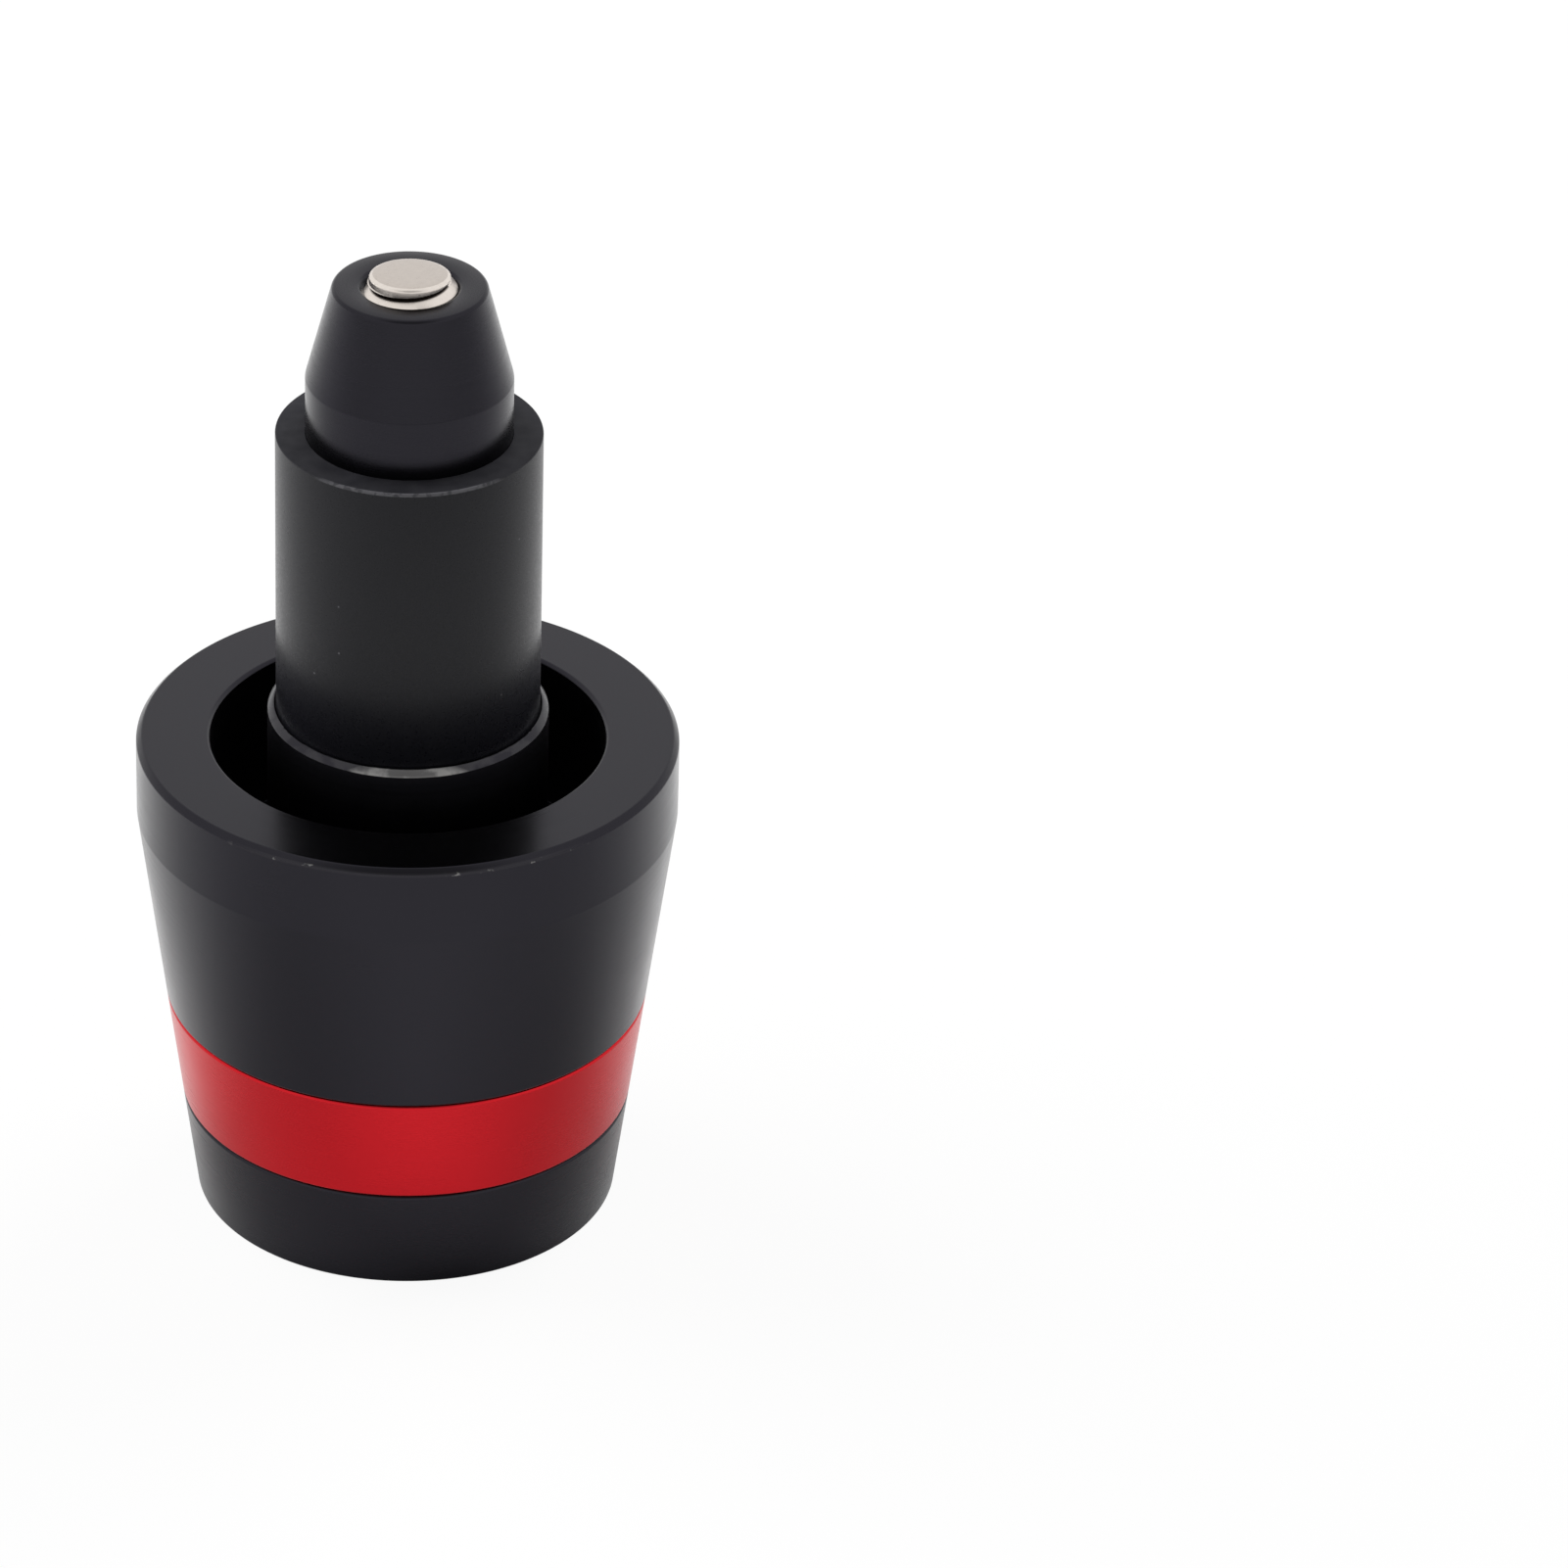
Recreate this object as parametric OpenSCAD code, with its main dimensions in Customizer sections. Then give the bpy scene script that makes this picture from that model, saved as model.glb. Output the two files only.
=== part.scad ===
// Bar end weight: a tapered turned weight for the end of a handlebar.
// It stands on the flat rim of its small end, with the plug upwards. The origin is the middle
// of that rim and +Z runs along the screw. A cap, a ring and a body are stacked on one long
// countersunk screw. The screw draws a wedge nut into a rubber sleeve, which swells in the bar.
// Lengths are in millimetres.

/* [Outline of the weight] */
// Outside diameter of the cylindrical band at the rim
rim_d = 34; // [31:0.5:40]
// Outside diameter of the small end
base_d = 26.7; // [24:0.1:32]
// Height of the cylindrical band below the rim face
band_h = 5.2; // [3:0.1:9]
// Chamfer between the band and the rim face
rim_chamfer = 0.35; // [0.1:0.05:1]
// Chamfer on each edge of the side joints, which shows as a fine line
joint_chamfer = 0.15; // [0.05:0.05:0.4]

/* [End cap] */
// Height of the side of the cap
cap_h = 7; // [6.5:0.1:10]
// Diameter of the dish at the small end
dish_d = 23.2; // [18:0.1:23.6]
// Depth of the screw head's face in the dish
head_depth = 4.8; // [3.5:0.1:5.2]
// Height of the hub that carries the ring from below
hub_h = 3.6; // [2:0.1:5]

/* [Accent ring] */
// Height of the side of the ring
ring_h = 7.3; // [6:0.1:12]
// Diameter of the hub and the spigot that carry the ring
spigot_d = 19.9; // [16:0.1:21]
// Gap around the hub and the spigot
spigot_clearance = 0.05; // [0.02:0.01:0.15]
// Gap left between the hub and the spigot, so that the ring is the part that is clamped
hub_gap = 0.3; // [0.1:0.1:0.6]

/* [Weight body] */
// Height of the side of the body
body_h = 18.2; // [15:0.1:30]
// Outside diameter of the recess that takes the end of the bar
recess_d = 24.7; // [22.5:0.1:27]
// Depth of the recess below the rim face
recess_depth = 10; // [5:0.5:12]
// Chamfer on the recess's edge
recess_chamfer = 0.2; // [0.1:0.05:0.5]
// Diameter of the boss that centres the bar
boss_d = 17.8; // [17.2:0.1:19]
// Height of the boss above the rim face
boss_proud = 1.9; // [0.5:0.1:5]
// Chamfer on the boss's edge
boss_chamfer = 0.15; // [0.05:0.05:0.3]
// Height of the pilot that centres the sleeve on the boss
pilot_h = 2; // [1:0.5:4]
// Gap around the pilot
pilot_clearance = 0.15; // [0.05:0.05:0.4]

/* [Expander sleeve] */
// Outside diameter of the sleeve
sleeve_d = 16.5; // [15.2:0.1:17]
// Length of the sleeve
sleeve_len = 19.4; // [17:0.2:26]
// Radius of the sleeve's outer edges
sleeve_edge_r = 0.1; // [0.05:0.05:0.6]
// Thickness of the sleeve round its mouth
mouth_wall = 1.75; // [1.2:0.05:2.2]

/* [Wedge nut] */
// Height of the nut's cylindrical land above the sleeve
land_above = 3.8; // [2:0.1:6]
// Height of the land inside the sleeve's mouth
land_below = 1.4; // [0.5:0.1:3]
// Height of the nose's cone
nose_h = 6.2; // [3:0.1:9]
// How far the nose's cone draws in from the land to the flat top
nose_step = 1.6; // [0.5:0.1:2.2]
// Length of the wedge below the land
wedge_len = 8; // [6:0.5:10]
// Thickness of the nut round its thread at the wedge's small end
wedge_tip_wall = 1.7; // [1:0.1:2.4]
// Gap between the wedge and the sleeve when the nut is drawn in all the way
wedge_clearance = 0.1; // [0.05:0.05:0.2]
// How far the screw can draw the nut in
draw_in = 1.5; // [0.5:0.1:2.5]
// Chamfer on the nut's outer edges
nut_chamfer = 0.15; // [0.05:0.05:0.3]

/* [Clamp screw] */
// Diameter of the screw's thread
thread_d = 5.9; // [4.8:0.1:6.4]
// Gap between the thread and the hole in the nut
thread_clearance = 0.05; // [0.02:0.01:0.1]
// Gap around the screw in the cap and the body
hole_clearance = 0.3; // [0.2:0.05:0.6]
// Height of the screw's end above the nose
screw_proud = 1; // [0.6:0.1:3]
// Diameter of the flat at the screw's end
screw_end_d = 3.8; // [3:0.1:4.8]
// Height of the chamfer at the screw's end
screw_end_h = 1; // [0.4:0.1:1.6]
// Diameter of the screw's head
head_d = 11.6; // [10:0.1:12.4]
// Height of the straight edge of the head
head_edge_h = 0.3; // [0.1:0.05:0.6]
// Gap between the head and its countersink
head_clearance = 0.1; // [0.05:0.05:0.2]
// Width of the hex socket across its flats
socket_w = 4; // [3:0.5:5]
// Depth of the hex socket
socket_depth = 2.5; // [1.5:0.1:3]
// Chamfer round the mouth of the socket
socket_chamfer = 0.15; // [0.05:0.05:0.3]
// Chamfer round the nut's hole at the nose
hole_chamfer = 0.15; // [0.05:0.05:0.5]

/* [Hidden] */
$fn = 96;

// Angle between two points of a rounded edge
edge_step = 22.5;
// Overlap of a cutter past the face that it cuts
cut_over = 0.1;
// Steepness of the drill point at the bottom of the socket
drill_slope = tan(30);

anodised_black = "#2b2b2f";
anodised_red = "#b21f25";
rubber_black = "#242428";
steel = "#c8c4ba";

// Heights of the stack, from the small end upwards
ring_z = cap_h;
body_z = ring_z + ring_h;
rim_z = body_z + body_h;
band_z = rim_z - band_h;
floor_z = rim_z - recess_depth;
boss_z = rim_z + boss_proud;
pilot_z = boss_z + pilot_h;
sleeve_z = boss_z + sleeve_len;
hub_z = ring_z + hub_h;
spigot_z = hub_z + hub_gap;

// Heights of the wedge nut
land_top_z = sleeve_z + land_above;
land_bottom_z = sleeve_z - land_below;
nose_z = land_top_z + nose_h;
wedge_z = land_bottom_z - wedge_len;

// Heights of the screw
head_z = head_depth;
head_cone_z = head_z + head_edge_h;
screw_z = nose_z + screw_proud;

// Radii
rim_r = rim_d / 2;
base_r = base_d / 2;
spigot_r = spigot_d / 2;
recess_r = recess_d / 2;
boss_r = boss_d / 2;
sleeve_r = sleeve_d / 2;
mouth_r = sleeve_r - mouth_wall;
land_r = mouth_r - wedge_clearance;
nose_top_r = land_r - nose_step;
thread_r = thread_d / 2;
nut_bore_r = thread_r + thread_clearance;
head_r = head_d / 2;
hole_r = thread_r + hole_clearance;
wedge_r = nut_bore_r + wedge_tip_wall;
sleeve_bore_r = wedge_r + wedge_clearance;
pilot_r = sleeve_bore_r - pilot_clearance;
socket_r = socket_w / 2 / cos(30);

// Radius of the tapered side at height z
function side_r(z) = base_r + (rim_r - base_r) * z / band_z;

// Radius of the countersink at height z, which runs beside the head's cone
function seat_r(z) = head_r + head_clearance + head_cone_z - z;

// Points of a convex edge of radius r whose centre is at c, from angle a0 to a1
function edge(c, r, a0, a1) = [for (a = [a0 : edge_step : a1]) c + r * [cos(a), sin(a)]];

module end_cap() {
    seat_end_z = head_cone_z + head_r + head_clearance - hole_r;
    color(anodised_black)
    rotate_extrude()
    polygon([
        [dish_d / 2, 0],
        [base_r - joint_chamfer, 0],
        [side_r(joint_chamfer), joint_chamfer],
        [side_r(cap_h - joint_chamfer), cap_h - joint_chamfer],
        [side_r(cap_h) - joint_chamfer, cap_h],
        [spigot_r, cap_h],
        [spigot_r, hub_z - joint_chamfer],
        [spigot_r - joint_chamfer, hub_z],
        [hole_r, hub_z],
        [hole_r, seat_end_z],
        [seat_r(head_z), head_z],
    ]);
}

module accent_ring() {
    bore_r = spigot_r + spigot_clearance;
    color(anodised_red)
    rotate_extrude()
    polygon([
        [bore_r, ring_z],
        [side_r(ring_z) - joint_chamfer, ring_z],
        [side_r(ring_z + joint_chamfer), ring_z + joint_chamfer],
        [side_r(body_z - joint_chamfer), body_z - joint_chamfer],
        [side_r(body_z) - joint_chamfer, body_z],
        [bore_r, body_z],
    ]);
}

module weight_body() {
    color(anodised_black)
    rotate_extrude()
    polygon([
        [hole_r, spigot_z],
        [spigot_r - joint_chamfer, spigot_z],
        [spigot_r, spigot_z + joint_chamfer],
        [spigot_r, body_z],
        [side_r(body_z) - joint_chamfer, body_z],
        [side_r(body_z + joint_chamfer), body_z + joint_chamfer],
        [rim_r, band_z],
        [rim_r, rim_z - rim_chamfer],
        [rim_r - rim_chamfer, rim_z],
        [recess_r + recess_chamfer, rim_z],
        [recess_r, rim_z - recess_chamfer],
        [recess_r, floor_z],
        [boss_r, floor_z],
        [boss_r, boss_z - boss_chamfer],
        [boss_r - boss_chamfer, boss_z],
        [pilot_r, boss_z],
        [pilot_r, pilot_z - joint_chamfer],
        [pilot_r - joint_chamfer, pilot_z],
        [hole_r, pilot_z],
    ]);
}

module expander_sleeve() {
    mouth_z = land_bottom_z - draw_in;
    edge_in_r = sleeve_r - sleeve_edge_r;
    color(rubber_black)
    rotate_extrude()
    polygon(concat(
        [[sleeve_bore_r, boss_z]],
        edge([edge_in_r, boss_z + sleeve_edge_r], sleeve_edge_r, -90, 0),
        edge([edge_in_r, sleeve_z - sleeve_edge_r], sleeve_edge_r, 0, 90),
        [[mouth_r, sleeve_z], [mouth_r, mouth_z], [sleeve_bore_r, mouth_z - wedge_len]]
    ));
}

module wedge_nut() {
    color(anodised_black)
    rotate_extrude()
    polygon([
        [nut_bore_r, wedge_z],
        [wedge_r, wedge_z],
        [land_r, land_bottom_z],
        [land_r, land_top_z],
        [nose_top_r, nose_z - nut_chamfer],
        [nose_top_r - nut_chamfer, nose_z],
        [nut_bore_r + hole_chamfer, nose_z],
        [nut_bore_r, nose_z - hole_chamfer],
    ]);
}

module clamp_screw() {
    color(steel)
    difference() {
        rotate_extrude()
        polygon([
            [0, head_z],
            [head_r, head_z],
            [head_r, head_cone_z],
            [thread_r, head_cone_z + head_r - thread_r],
            [thread_r, screw_z - screw_end_h],
            [screw_end_d / 2, screw_z],
            [0, screw_z],
        ]);
        hex_socket();
    }
}

// Cutter for the socket: a hexagon with a chamfered mouth and the point of its drilled hole
module hex_socket() {
    translate([0, 0, head_z - cut_over])
    cylinder(h = socket_depth + cut_over, r = socket_r, $fn = 6);
    translate([0, 0, head_z + socket_depth])
    cylinder(h = socket_w / 2 * drill_slope, r1 = socket_w / 2, r2 = 0);
    translate([0, 0, head_z - cut_over])
    cylinder(
        h = socket_chamfer + cut_over,
        r1 = socket_r + cut_over,
        r2 = socket_r - socket_chamfer
    );
}

end_cap();
accent_ring();
weight_body();
expander_sleeve();
wedge_nut();
clamp_screw();
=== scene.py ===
"""Bar end weight, dressed over its CAD frame.

Every piece is turned round the screw's axis, as on a lathe: a circle is extruded from point to
point of a profile of (radius, height), closed, and its edges are broken. The threads and the hex
socket are cut as a tap, a die and a broach cut them. Lengths are in metres, and MM writes them in
millimetres.
"""

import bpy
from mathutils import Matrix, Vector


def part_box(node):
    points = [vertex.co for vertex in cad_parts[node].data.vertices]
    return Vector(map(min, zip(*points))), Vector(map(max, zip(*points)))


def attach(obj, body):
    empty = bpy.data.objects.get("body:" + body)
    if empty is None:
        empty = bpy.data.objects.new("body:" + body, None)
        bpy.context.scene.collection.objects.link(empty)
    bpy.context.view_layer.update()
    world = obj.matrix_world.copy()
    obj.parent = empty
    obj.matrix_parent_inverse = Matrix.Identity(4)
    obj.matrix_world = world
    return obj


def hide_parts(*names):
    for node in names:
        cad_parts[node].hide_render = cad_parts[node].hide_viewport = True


bl_info = {
    "name": "Bar End Weight",
    "version": (1, 0, 0),
    "blender": (4, 5, 0),
    "location": "View3D > Sidebar > Bar End",
    "description": "Builds a tapered bar end weight with its plug and screw over its CAD frame",
    "category": "Object",
}

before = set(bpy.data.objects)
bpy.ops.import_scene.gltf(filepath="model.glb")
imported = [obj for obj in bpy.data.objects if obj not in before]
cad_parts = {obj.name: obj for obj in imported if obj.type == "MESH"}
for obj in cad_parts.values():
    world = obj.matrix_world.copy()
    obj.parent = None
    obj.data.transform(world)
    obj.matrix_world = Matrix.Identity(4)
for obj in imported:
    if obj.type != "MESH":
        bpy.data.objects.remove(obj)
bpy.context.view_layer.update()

from itertools import pairwise
from math import cos, pi, radians, sin, tan

import bpy
from bpy.props import FloatProperty, IntProperty, PointerProperty, StringProperty
from mathutils import Matrix, Vector

MM = 0.001

# Sides of a turned circle, enough for a smooth outline in a close view
TURNED_SIDES = 192
# Sides of the screw and of its socket's mouth, and of the hole drilled for the socket
SCREW_SIDES = 96
DRILL_SIDES = 48
# Points round a thread for each turn
THREAD_STEPS = 64
# Half width of the thread's groove at the nominal radius, as a share of the pitch
HALF_GROOVE = 7 / 16
# Half the angle between the thread's flanks
HALF_FLANKS = radians(30)
# Half the angle between two corners of a hexagon
HALF_HEX = radians(30)
# Slope of a drill's point
DRILL_SLOPE = radians(30)
# A turned edge is broken where it turns by more than this
TURNED_EDGE = radians(5)
# An edge of the screw is broken where it turns by more than this
SCREW_EDGE = radians(10)
# Faces that meet at less than this are shaded as one round surface
SMOOTH_ANGLE = radians(20)
# A distance too small to count
HAIR = MM / 1000
# The crown on the screw's end, in shares of the point's radius and of the crown's height
CROWN = ((0.98, 0.25), (0.93, 0.47), (0.86, 0.6), (0.7, 0.67), (0.5, 0.71), (0.25, 0.74))

# Range that most values of a noise pattern fall in
NOISE_LOW, NOISE_HIGH = 0.3, 0.7
# Depth of a tool's rings and of a mould's grain
RELIEF = 0.01 * MM
# Roughness of the oxide where it is finely turned, on the body, and in the bored recess
TURNED_ROUGH, BODY_ROUGH, BORED_ROUGH = 0.26, 0.23, 0.42
# How far the oxide's roughness goes up and down from there
ROUGH_SPREAD = 0.05
# Roughness of rubbed metal, and of the sleeve's scuffs and cut end
RUBBED_ROUGH, SCUFFED_ROUGH = 0.6, 0.75
# Share of its reach up to which an edge's wear is full
FULL_REACH = 0.7
# Half width of a worn patch's soft border, on the scale of its noise pattern
PATCH_BORDER = 0.05

# The soft lamps: name, azimuth and elevation in degrees, distance and width in metres, and watts
SOFTBOXES = (
    ("softbox_back_left", -115, 40, 1.0, 0.8, 10),
    ("softbox_back_right", 132, 40, 1.0, 0.6, 7),
)
# Height on the axis that the soft lamps look at
LAMP_AIM_Z = 20 * MM
# Way to the light tent's opening, in front and above
OPENING_WAY = (0, -0.6, 0.8)
# Cosines of the angle from that way at which the opening begins and is full
OPENING_EDGE, OPENING_FULL = 0.8, 0.96
# Brightness of the opening where it is mirrored, and of the tent as a light
OPENING_LEVEL, TENT_LEVEL = 0.42, 0.22
# Share of plain white in the ground where it is seen, and where it is mirrored
SEEN_WHITE, MIRRORED_WHITE = 0.93, 0.12


def node_span(node):
    """Lowest height, highest height and radius of a CAD node, which stands round the Z axis."""
    low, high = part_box(node)
    return low[2], high[2], high[0]


CAP_Z, HUB_Z, _ = node_span("end_cap")
RING_Z, BODY_Z, _ = node_span("accent_ring")
SPIGOT_Z, PILOT_Z, RIM_R = node_span("weight_body")
BOSS_Z, SLEEVE_Z, SLEEVE_R = node_span("expander_sleeve")
WEDGE_Z, NOSE_Z, LAND_R = node_span("wedge_nut")
HEAD_Z, SCREW_Z, HEAD_R = node_span("clamp_screw")


def length(name, text, default):
    """A length for the panel, given in millimetres."""
    return FloatProperty(
        name=name, description=text, default=default * MM, unit="LENGTH", precision=5
    )


def angle(name, text, default):
    """An angle for the panel, given in degrees."""
    return FloatProperty(name=name, description=text, default=radians(default), subtype="ANGLE")


def pixels(name, text, default):
    """A distance in the picture for the panel, given in pixels."""
    return FloatProperty(name=name, description=text, default=default, subtype="PIXEL")


def hex_colour(name, text, default):
    """An sRGB colour for the panel, written as a hex value."""
    return StringProperty(name=name, description=text, default=default)


class OutlineSizes(bpy.types.PropertyGroup):
    """Sizes that the cap, the ring and the body share"""

    base_r: length("Base radius", "Radius of the small end", 13.35)
    band_h: length("Band height", "Height of the straight band below the rim face", 5.2)
    joint_chamfer: length("Joint chamfer", "Chamfer on each edge of a side joint", 0.15)
    spigot_r: length("Spigot radius", "Radius of the hub and the spigot inside the ring", 9.95)
    spigot_gap: length("Spigot gap", "Gap round the hub and the spigot", 0.05)
    hole_r: length("Hole radius", "Radius of the hole that the screw passes", 3.25)
    edge_r: length("Edge break", "Width of the tool's break along every turned edge", 0.07)


class BodySizes(bpy.types.PropertyGroup):
    """Sizes of the weight body"""

    rim_below_boss: length("Boss height", "Height of the boss above the rim face", 1.9)
    rim_chamfer: length("Rim chamfer", "Chamfer between the band and the rim face", 0.35)
    recess_r: length("Recess radius", "Outside radius of the recess for the bar's end", 12.35)
    recess_depth: length("Recess depth", "Depth of the recess below the rim face", 10)
    recess_chamfer: length("Recess chamfer", "Chamfer on the recess's edge", 0.2)
    boss_r: length("Boss radius", "Radius of the boss that the sleeve stands on", 8.8)
    lip_r: length("Lip radius", "Radius inside the lip round the sleeve's foot", 8.32)
    lip_h: length("Lip height", "Height of the lip above the sleeve's foot", 0.25)
    lip_drop: length("Lip drop", "Depth below the sleeve's foot where the lip's slope begins", 0.1)
    pilot_r: length("Pilot radius", "Radius of the pilot inside the sleeve's foot", 4.65)


class CapSizes(bpy.types.PropertyGroup):
    """Sizes of the end cap"""

    dish_r: length("Dish radius", "Radius of the dish at the small end", 11.6)
    seat_gap: length("Seat gap", "Gap between the screw's head and its countersink", 0.1)


class SleeveSizes(bpy.types.PropertyGroup):
    """Sizes of the expander sleeve"""

    edge_r: length("Edge radius", "Radius of the sleeve's outer edges", 0.1)
    mouth_r: length("Mouth radius", "Radius of the bore where it hugs the nut's land", 6.42)
    bore_r: length("Bore radius", "Radius of the bore at the sleeve's foot", 4.8)
    mouth_depth: length("Mouth depth", "Straight part of the mouth above the taper", 2.9)
    taper_len: length("Taper length", "Length of the bore's taper", 8)


class NutSizes(bpy.types.PropertyGroup):
    """Sizes of the wedge nut"""

    wedge_r: length("Wedge tip radius", "Radius of the wedge's small end", 4.7)
    wedge_len: length("Wedge length", "Length of the wedge below the land", 8)
    nose_h: length("Nose height", "Height of the nose's cone", 6.2)
    nose_top_r: length("Nose top radius", "Radius of the nose's flat top", 4.8)
    chamfer: length("Nut chamfer", "Chamfer round the nose's flat top", 0.15)
    mouth_r: length("Thread mouth radius", "Radius of the chamfer round the threaded hole", 3.15)
    tapped_r: length("Tapped radius", "Radius inside the nut's thread", 2.46)


class ScrewSizes(bpy.types.PropertyGroup):
    """Sizes of the clamp screw"""

    head_edge_h: length("Head edge", "Height of the straight edge of the head", 0.3)
    thread_r: length("Thread radius", "Radius over the crests of the thread", 2.95)
    root_r: length("Root radius", "Radius at the bottom of the thread", 2.39)
    nominal_r: length("Nominal radius", "Radius that the thread's flanks are measured from", 3)
    thread_gap: length("Thread gap", "Gap between the flanks of the screw and the nut", 0.03)
    pitch: length("Pitch", "Height of one turn of the thread", 1)
    turns: IntProperty(name="Turns", description="Full turns of the thread", default=24)
    groove_below: length("First groove", "Depth of the groove below the end, at the front", 0.75)
    point_r: length("Point radius", "Radius of the plain point above the thread", 2.51)
    point_h: length("Point height", "Height of the plain point with its crown", 0.7)
    crown_h: length("Crown height", "Height of the crown on the point, with its slant", 0.4)
    slant: angle("End slant", "Slant of the end, which is not cut square", 3.5)
    edge_r: length("Edge break", "Width of the break along the screw's edges", 0.04)
    socket_w: length("Socket width", "Width of the hex socket across its flats", 4)
    socket_depth: length("Socket depth", "Depth of the hex socket", 2.5)
    socket_chamfer: length("Socket chamfer", "Chamfer round the mouth of the socket", 0.15)


class Finishes(bpy.types.PropertyGroup):
    """Colours of the finishes"""

    black: hex_colour("Anodised black", "Colour of the dyed black oxide", "#2E2D32")
    red: hex_colour("Anodised red", "Colour of the dyed red oxide", "#C8222A")
    # Also the colour of the painted highlight on the body's lip
    bare_and_highlight: hex_colour("Bare aluminium", "Colour where the oxide is worn through", "#A9A8A6")
    rubber: hex_colour("Rubber", "Colour of the black rubber", "#18181D")
    dust: hex_colour("Dust", "Colour of dust and scuffs on the rubber", "#8C8B90")
    steel: hex_colour("Steel", "Colour of the bright stainless steel", "#D6CDC5")
    # A lighter steel that paints the highlights on the thread's flanks and the crown's edge
    thread: hex_colour("Thread", "Colour of the rolled thread and of the crown's edge", "#F2EAE2")
    dull_steel: hex_colour("Dull steel", "Colour of the dull patches on the steel", "#BAB1A9")
    # Painted shade at the bottom of the screw's thread and on the point's wall
    painted_shade: hex_colour("Grime", "Colour of the grime in the screw's thread", "#352D28")


class StageSizes(bpy.types.PropertyGroup):
    """The camera and the white ground"""

    photo_px: IntProperty(
        name="Picture width", description="Width of the picture", default=1601, subtype="PIXEL"
    )
    focal_px: pixels("Focal length", "Focal length in pixels", 8933)
    aim_x: pixels("Aim across", "Column that the aimed point falls on", 417)
    aim_y: pixels("Aim down", "Row that the aimed point falls on", 674.4)
    aim_z: length("Aim height", "Height on the axis that the camera is aimed by", 37.6)
    distance: length("Distance", "Distance from the camera to the aimed point", 545.7)
    elevation: angle("Elevation", "Height of the camera's view", 29.55)
    lean: angle("Lean", "Lean of the upright axis in the picture", 0.26)
    floor_size: length("Floor size", "Width of the white ground", 4000)


def sizes():
    """The groups of sizes on the scene, by short names."""
    return bpy.context.scene.bar_end


def side_radius(z):
    """Radius of the weight's tapered side at height z."""
    outline = sizes().outline
    band_z = BOSS_Z - sizes().body.rim_below_boss - outline.band_h
    return outline.base_r + (RIM_R - outline.base_r) * z / band_z


def deselect():
    """Leave edit mode with nothing selected, so that an operator acts on its own piece alone."""
    if bpy.context.object and bpy.context.object.mode == "EDIT":
        bpy.ops.object.mode_set(mode="OBJECT")
    bpy.ops.object.select_all(action="DESELECT")


def select_only(piece):
    """Make a piece the only selected object and the active one."""
    deselect()
    piece.select_set(True)
    bpy.context.view_layer.objects.active = piece


def select_points(piece, chosen):
    """In edit mode, select the points of a piece whose places pass a test."""
    select_only(piece)
    bpy.ops.object.mode_set(mode="EDIT")
    bpy.ops.mesh.select_mode(type="VERT")
    bpy.ops.mesh.select_all(action="DESELECT")
    bpy.ops.object.mode_set(mode="OBJECT")
    for point in piece.data.vertices:
        point.select = chosen(point.co)
    bpy.ops.object.mode_set(mode="EDIT")


def close_openings(close, **settings):
    """Close the openings of the mesh in edit mode, turn its faces outward and leave edit mode."""
    bpy.ops.mesh.select_mode(type="EDGE")
    bpy.ops.mesh.select_all(action="DESELECT")
    bpy.ops.mesh.select_non_manifold()
    close(**settings)
    bpy.ops.mesh.select_all(action="SELECT")
    bpy.ops.mesh.normals_make_consistent(inside=False)
    bpy.ops.object.mode_set(mode="OBJECT")


def turned(name, profile, solid=False, sides=TURNED_SIDES):
    """Extrude a circle from point to point of a profile of (radius, height), and close the piece.

    A ring is closed by bridging its last circle to its first, and a solid by a face on each end.
    """
    deselect()
    first_r, first_z = profile[0]
    bpy.ops.mesh.primitive_circle_add(vertices=sides, radius=first_r, location=(0, 0, first_z))
    piece = bpy.context.object
    piece.name = piece.data.name = name
    bpy.ops.object.transform_apply(location=True, rotation=True, scale=True)
    bpy.ops.object.mode_set(mode="EDIT")
    bpy.ops.mesh.select_all(action="SELECT")
    for (r0, z0), (r1, z1) in pairwise(profile):
        bpy.ops.mesh.extrude_region()
        bpy.ops.transform.translate(value=(0, 0, z1 - z0))
        bpy.ops.transform.resize(value=(r1 / r0, r1 / r0, 1), center_override=(0, 0, z1))
    if solid:
        close_openings(bpy.ops.mesh.fill_holes, sides=0)
    else:
        close_openings(bpy.ops.mesh.bridge_edge_loops)
    return piece


def apply_modifier(piece, kind, **settings):
    """Put a modifier on a piece and apply it."""
    select_only(piece)
    modifier = piece.modifiers.new(kind.title(), kind)
    for key, value in settings.items():
        setattr(modifier, key, value)
    bpy.ops.object.modifier_apply(modifier=modifier.name)


def round_edges(piece, width, limit):
    """Round every edge of a piece that turns by more than a limit."""
    apply_modifier(
        piece, "BEVEL", width=width, segments=2, limit_method="ANGLE", angle_limit=limit
    )


def break_edges(piece, width):
    """Round every turned edge a little, and shade the flats flat and the rounds round."""
    round_edges(piece, width, TURNED_EDGE)
    select_only(piece)
    bpy.ops.object.shade_smooth()
    apply_modifier(piece, "WEIGHTED_NORMAL", mode="FACE_AREA", weight=100)


def shade_rounds(piece):
    """Shade the round surfaces of a piece round, and leave its sharp edges sharp."""
    select_only(piece)
    bpy.ops.object.shade_smooth_by_angle(angle=SMOOTH_ANGLE)


def cut(piece, cutter):
    """Cut the shape of a cutter out of a piece, and throw the cutter away."""
    apply_modifier(piece, "BOOLEAN", operation="DIFFERENCE", solver="EXACT", object=cutter)
    bpy.data.objects.remove(cutter, do_unlink=True)


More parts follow.
